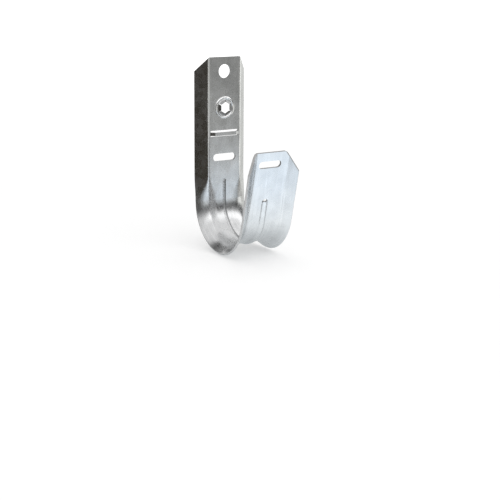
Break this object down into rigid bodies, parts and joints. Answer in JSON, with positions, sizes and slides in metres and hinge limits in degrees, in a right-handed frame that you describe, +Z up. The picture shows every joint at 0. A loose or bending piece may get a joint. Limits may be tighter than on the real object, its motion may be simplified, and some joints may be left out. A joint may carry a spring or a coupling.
{
  "type": "j hook cable support",
  "caption": "One-piece galvanised steel J hook with a channel section, round saddle, mounting hole, gripping collar and slotted lip, for carrying bundled cables along a wall",
  "frame": {"origin": "on the axis of the top mounting hole, at the back face of the web", "axes": "+Z up along the back plate, +Y towards the wall, -Y out to the front lip, X across the strip"},
  "size_m": [0.0272, 0.0489, 0.089],
  "materials": {
    "galvanised_steel": "galvanised, soft satin with a fine spangle"
  },
  "bodies": {
    "root": {"hook_body": "galvanised_steel"}
  },
  "joints": []
}
